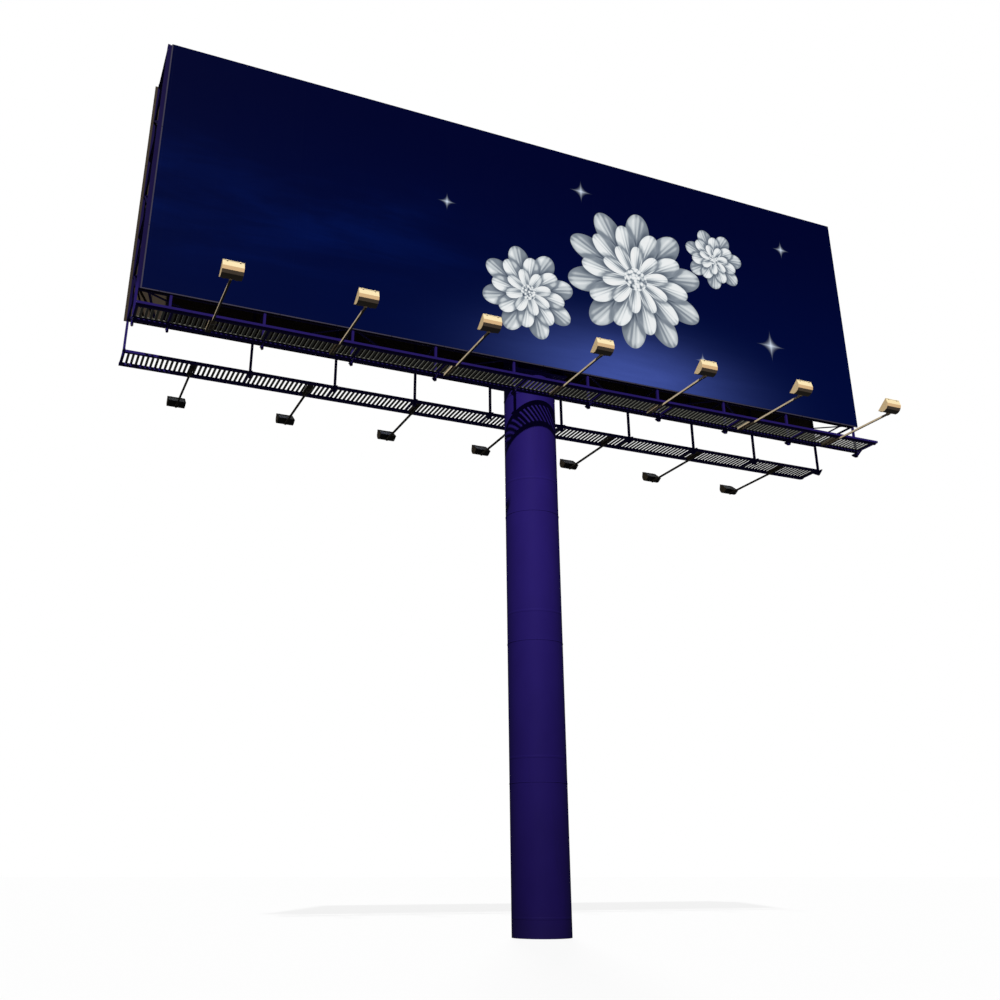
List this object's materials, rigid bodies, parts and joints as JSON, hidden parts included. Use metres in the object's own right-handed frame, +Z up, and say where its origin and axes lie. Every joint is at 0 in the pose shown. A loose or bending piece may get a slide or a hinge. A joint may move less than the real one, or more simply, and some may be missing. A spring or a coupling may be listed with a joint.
{
  "type": "two-sided billboard on a round steel column",
  "caption": "Two parallel advertising boards back to back on a steel frame, held up by one round column, with open-bar walkways and floodlights below each board.",
  "frame": {"origin": "centre of the column's flat foot, at ground level", "axes": "+X along the boards, +Y from the front board to the back board, +Z up along the column"},
  "size_m": [18.14, 6.5638, 17.94],
  "materials": {
    "column_paint": "satin indigo paint",
    "frame_paint": "satin indigo paint",
    "board_sheeting": "weathered brown sheeting",
    "printed_sheet": "semi-gloss printed vinyl, dark navy",
    "walkway_slats": "dull olive grey paint",
    "lamp_arm_paint": "worn cream paint, sooty below",
    "lamp_housing": "cream enamel",
    "lamp_glass": "clear toughened glass"
  },
  "bodies": {
    "root": {"column": "column_paint", "column_cap": "column_paint", "column_collars": "column_paint", "saddle_beams": "column_paint", "front_posts": "frame_paint", "front_rails": "frame_paint", "front_board": "board_sheeting", "front_poster": "printed_sheet", "back_posts": "frame_paint", "back_rails": "frame_paint", "back_board": "board_sheeting", "back_poster": "printed_sheet", "left_end_lacing": "frame_paint", "right_end_lacing": "frame_paint", "left_cross_frames": "frame_paint", "right_cross_frames": "frame_paint", "bottom_level_bracing": "frame_paint", "middle_level_bracing": "frame_paint", "top_level_bracing": "frame_paint", "front_walkway_beams": "frame_paint", "front_stringers": "frame_paint", "front_walkway_joists": "frame_paint", "front_post_gussets": "frame_paint", "front_grating_left": "walkway_slats", "front_grating_right": "walkway_slats", "back_walkway_beams": "frame_paint", "back_stringers": "frame_paint", "back_walkway_joists": "frame_paint", "back_post_gussets": "frame_paint", "back_grating_left": "walkway_slats", "back_grating_right": "walkway_slats", "front_lamp_bars": "lamp_arm_paint", "front_lamp_arms": "lamp_arm_paint", "front_lamp_cradles": "lamp_arm_paint", "front_lamp_housings": "lamp_housing", "front_lamp_glasses": "lamp_glass", "back_lamp_bars": "lamp_arm_paint", "back_lamp_arms": "lamp_arm_paint", "back_lamp_cradles": "lamp_arm_paint", "back_lamp_housings": "lamp_housing", "back_lamp_glasses": "lamp_glass"}
  },
  "joints": []
}
